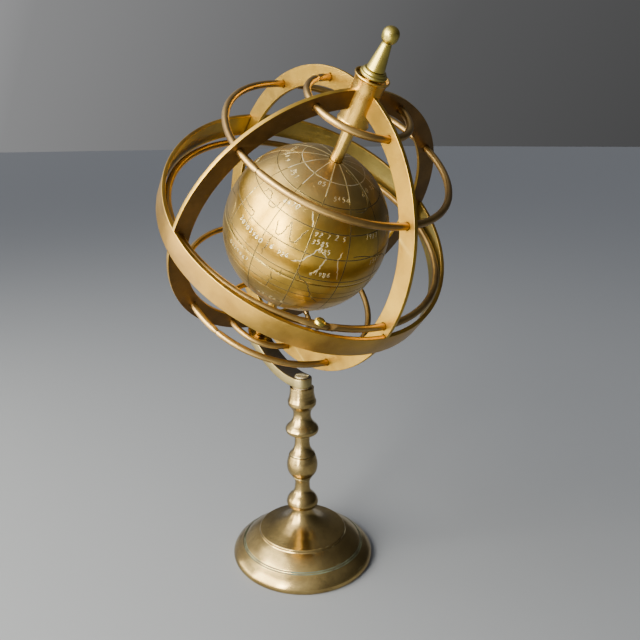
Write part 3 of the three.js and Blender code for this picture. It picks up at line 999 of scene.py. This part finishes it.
# coast-like strokes on the side that faces the viewer
COASTS = (
    ((-91, 36), (-90, 40), (-84, 40), (-79, 33), (-75, 34), (-72, 40.5)),
    ((-66, 30.5), (-62.5, 22.4), (-60, 22.4), (-56, 34), (-52.5, 24), (-50, 22.4), (-48, 24),
     (-43, 34)),
    ((-63.7, 19.9), (-64.4, 13), (-66, 8), (-64.4, 4.9)),
    ((-40, 8), (-36, 2.4), (-31, 0.5), (-26, -8), (-22.5, -13), (-17.5, -17)),
    ((-55, -1.4), (-53, -7), (-53.7, -12), (-55.6, -18)),
    ((-49.4, 3), (-48, -0.7), (-50, -2)),
    ((-100, 24), (-85, 23.6), (-84.4, 18), (-85, 14), (-90, 13)),
)
BRIGHT_COASTS = (
    ((-45.6, 44.9), (-41.2, 36.7)),
    ((-45.6, 11.7), (-40, 14), (-35, 19.9), (-29.4, 27.4)),
    ((-27.5, 25.5), (-24.4, 19), (-26.9, 13), (-29.4, 8.6)),
    ((-13.7, 25.5), (-16, 20), (-14.4, 13), (-11.9, 6.7)),
)
WOBBLE = 0.35
for corners in COASTS:
    engraved.path(corners, GRID_WIDTH, wobble=WOBBLE)
for corners in BRIGHT_COASTS:
    engraved.path(corners, GRID_WIDTH, bright=True, wobble=WOBBLE)

# single-stroke digits in a box one unit high and 0.62 wide
DIGITS = (
    (((0.3, 0), (0.05, 0.25), (0.05, 0.75), (0.3, 1), (0.55, 0.75), (0.55, 0.25), (0.3, 0)),),
    (((0.15, 0.8), (0.35, 1), (0.35, 0)),),
    (((0.05, 0.8), (0.3, 1), (0.55, 0.75), (0.05, 0), (0.58, 0)),),
    (((0.05, 1), (0.55, 1), (0.25, 0.6), (0.55, 0.3), (0.3, 0), (0.05, 0.1)),),
    (((0.4, 0), (0.4, 1), (0.02, 0.3), (0.6, 0.3)),),
    (((0.55, 1), (0.1, 1), (0.08, 0.58), (0.45, 0.6), (0.55, 0.3), (0.3, 0), (0.03, 0.08)),),
    (((0.5, 1), (0.1, 0.5), (0.08, 0.15), (0.3, 0), (0.55, 0.2), (0.4, 0.5), (0.1, 0.35)),),
    (((0.03, 1), (0.58, 1), (0.2, 0)),),
    (((0.3, 0.52), (0.08, 0.75), (0.3, 1), (0.52, 0.75), (0.3, 0.52), (0.04, 0.25),
      (0.3, 0), (0.56, 0.25), (0.3, 0.52)),),
    (((0.5, 0.6), (0.25, 0.48), (0.05, 0.75), (0.3, 1), (0.52, 0.8), (0.5, 0.6),
      (0.3, 0)),),
)


def number_row(latitude, first, last, height=2.7, slope=0.0):
    """A row of hand-cut digits from one longitude to another."""
    stretch = math.cos(math.radians(latitude))
    step = math.degrees(height * 0.95 / (GLOBE_R * stretch))
    lon = first
    while lon < last:
        if rng.uniform() < 0.14:
            lon += step * 0.8
            continue
        digit = DIGITS[rng.integers(0, 10)]
        tall = height * rng.uniform(0.85, 1.1)
        turn_by = rng.normal() * 0.12
        rise = slope * (lon - first) + rng.normal() * 0.35
        for line in digit:
            corners = []
            for x, y in line:
                dx = (x + 0.12 * y + turn_by * y) * tall
                dy = (y - turn_by * x) * tall
                corners.append((lon + math.degrees(dx / (GLOBE_R * stretch)),
                                latitude + rise + math.degrees(dy / GLOBE_R)))
            engraved.path(corners, DIGIT_WIDTH, bright=True)
        lon += step


# latitude, first and last longitude of the rows on the side that faces the viewer
NUMBER_ROWS = (
    (57, -135, -110), (57, -95, -80), (62, -60, -40), (56, -30, -12), (32, -38, -13),
    (27, -38, -28), (12, -92, -70), (12, -65, -50), (7, -32, -18), (22, -34, -24),
    (-8, -95, -74), (-30, -60, -38), (41, -72, -60), (-35, -25, -5),
)
for row in NUMBER_ROWS:
    number_row(*row, slope=rng.normal() * 0.03)
for k in range(9):
    for latitude in (57, 31, 12, -8, -36):
        start = 5 + 25 * k + rng.uniform(0, 8)
        number_row(latitude + rng.uniform(-3, 3), start, start + rng.uniform(9, 17),
                   slope=rng.normal() * 0.04)

# outlines of made-up land and sea
waves = rng.normal(size=(18, 3))
waves = waves / np.linalg.norm(waves, axis=1)[:, None] * rng.uniform(2.0, 11.0, (18, 1))
phases = rng.uniform(0, 2 * math.pi, 18)
weights = 1 / np.linalg.norm(waves, axis=1)


def field(points):
    return (np.sin(points @ waves.T + phases) * weights).sum(-1)


def contour_lines(level, rows=150, cols=300):
    """Marching squares over latitude and longitude, joined into lines."""
    lat = np.linspace(math.radians(-80), math.radians(80), rows)
    lon = np.linspace(0, 2 * math.pi, cols, endpoint=False)
    grid = on_sphere(*np.meshgrid(lat, lon, indexing="ij")).transpose(1, 0, 2)
    values = field(grid) - level
    links = {}
    place = {}

    def crossing(a, b):
        key = (a, b) if a < b else (b, a)
        if key not in place:
            f = values[a] / (values[a] - values[b])
            place[key] = grid[a] * (1 - f) + grid[b] * f
        return key

    for i in range(rows - 1):
        for j in range(cols):
            corners = [(i, j), (i, (j + 1) % cols), (i + 1, (j + 1) % cols), (i + 1, j)]
            signs = [values[c] > 0 for c in corners]
            edges = [crossing(corners[e], corners[(e + 1) % 4]) for e in range(4)
                     if signs[e] != signs[(e + 1) % 4]]
            for a, b in zip(edges[::2], edges[1::2]):
                links.setdefault(a, []).append(b)
                links.setdefault(b, []).append(a)
    lines = []
    left = set(links)
    ends = [k for k in links if len(links[k]) == 1]
    for start in ends + list(links):
        if start not in left:
            continue
        chain = [start]
        left.discard(start)
        while True:
            following = [k for k in links[chain[-1]] if k in left]
            if not following:
                break
            chain.append(following[0])
            left.discard(following[0])
        lines.append((np.array([place[k] for k in chain]),
                      len(chain) > 3 and chain[0] in links[chain[-1]]))
    return lines


def is_free(point):
    """True on the part of the globe that the drawn coasts leave free."""
    lon = math.degrees(math.atan2(point[1], point[0]))
    return not -100 < lon < -5


for line, loop in contour_lines(0.12):
    kept = []
    for point in list(line) + ([line[0]] if loop else []):
        if is_free(point):
            kept.append(point)
        if not is_free(point) or point is line[-1]:
            if len(kept) > 9:
                engraved.stroke(kept, LAND_WIDTH)
            kept = []
for line, loop in contour_lines(0.95):
    if len(line) > 12 and all(is_free(point) for point in line):
        engraved.stroke(line, ISLE_WIDTH, closed=loop, bright=True)
make("engraving", engraved.verts, engraved.faces, [RAISED, GROOVE, GLINT_CUT], "globe", (), SHIFTED,
     sharp=60, face_slots=engraved.slots)

# ---- CAD nodes that stay
for node, material in (
    ("base_washer", STEEL), ("base_nut", STEEL), ("tie_rod", STEEL), ("globe_seam_ring", TUBE),
    ("globe_bush_upper", TUBE), ("globe_bush_lower", TUBE),
):
    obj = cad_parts[node]
    obj.data.materials.clear()
    obj.data.materials.append(material)

# ---- stage, light, camera
FLOOR_HALF = 20
FLOOR_COLOR = (0.145, 0.156, 0.175, 1)
corners = [(x * FLOOR_HALF, y * FLOOR_HALF, 0) for x, y in ((-1, -1), (1, -1), (1, 1), (-1, 1))]
floor_mesh = bpy.data.meshes.new("floor")
floor_mesh.from_pydata(corners, [], [(0, 1, 2, 3)])
floor = bpy.data.objects.new("floor", floor_mesh)
scene.collection.objects.link(floor)
pale_floor = Surface("pale_floor")
pale_floor.shade({"Base Color": FLOOR_COLOR, "Roughness": 0.85})
floor.data.materials.append(pale_floor.mat)
floor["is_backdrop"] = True

# the room brightens smoothly toward the window
WINDOW_WAY = (-0.20, -0.92, 0.33)
ROOM_STOPS = ((0.0, 0.04), (0.25, 0.10), (0.50, 0.26), (0.75, 0.90), (1.0, 2.40))
ROOM_TINT = (1.0, 1.005, 1.02)
world = bpy.data.worlds.new("soft_room")
scene.world = world
world.use_nodes = True
room = Nodes(world.node_tree, "Generated")
toward = room.node("ShaderNodeVectorMath", {0: room.place, 1: WINDOW_WAY}, operation="DOT_PRODUCT")
share = room.math("MULTIPLY_ADD", toward.outputs["Value"], 0.5, 0.5)
background = world.node_tree.nodes["Background"]
room.feed(room.ramp(share, ROOM_STOPS, ROOM_TINT), background.inputs["Color"])
room.feed(1.0, background.inputs["Strength"])


def area(name, direction, distance, size, power, color, target=(0.0, 0.0, 0.2), facing=None):
    """Softbox seen from the target in a direction of the frame."""
    data = bpy.data.lights.new(name, "AREA")
    data.shape = "RECTANGLE"
    data.size, data.size_y = size
    data.energy = power
    data.color = color
    obj = bpy.data.objects.new(name, data)
    way = Vector(direction).normalized()
    obj.location = Vector(target) + way * distance
    aim = Vector(facing) if facing else -way
    obj.rotation_euler = aim.to_track_quat("-Z", "Y").to_euler()
    obj.visible_camera = False
    scene.collection.objects.link(obj)


area("window", direction=(-0.01, -0.93, 0.36), distance=0.90, size=(0.90, 0.70), power=36,
     color=(1.0, 0.94, 0.79))
area("upper_window", direction=(-0.40, -0.50, 0.80), distance=1.2, size=(0.9, 0.8), power=8,
     color=(1.0, 0.97, 0.90))
area("strip", direction=(0.37, -0.92, 0.24), distance=0.54, size=(0.12, 0.34), power=2.6,
     color=(1.0, 0.96, 0.86), target=(0.0, 0.0, 0.09))
area("low_card", direction=(-0.50, -0.78, -0.12), distance=0.58, size=(0.55, 0.16), power=1.5,
     color=(1.0, 0.92, 0.72))
area("floor_card", direction=(-0.06, -0.42, -0.196), distance=0.467, size=(0.80, 0.46), power=3.2,
     color=(1.0, 0.94, 0.78), facing=(0, 0, 1))

EYE = Vector((0.3250, -0.2361, 0.2776))
VIEW = Vector((-0.78667, 0.55726, -0.26573))
ROLL = math.radians(-0.45)
SENSOR_WIDTH = 36
FOCAL_LENGTH = 36.943313
SHIFT_X = 0.0405625
SHIFT_Y = 0.00165625
forward = VIEW.normalized()
right = forward.cross(Vector((0, 0, 1))).normalized()
up = right.cross(forward)
across = math.cos(ROLL) * right + math.sin(ROLL) * up
upward = -math.sin(ROLL) * right + math.cos(ROLL) * up
camera_data = bpy.data.cameras.new("camera")
camera_data.sensor_width = SENSOR_WIDTH
camera_data.lens = FOCAL_LENGTH
camera_data.shift_x = SHIFT_X
camera_data.shift_y = SHIFT_Y
camera_data.clip_start = 0.01
camera = bpy.data.objects.new("camera", camera_data)
matrix = Matrix((across, upward, -forward)).transposed().to_4x4()
matrix.translation = EYE
camera.matrix_world = matrix
scene.collection.objects.link(camera)
scene.camera = camera


def plain(value):
    """Nested plain lists of floats."""
    return [plain(v) for v in value] if hasattr(value, "__len__") else float(value)


{"cad": plain(first_bounds), "shown": plain(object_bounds())}
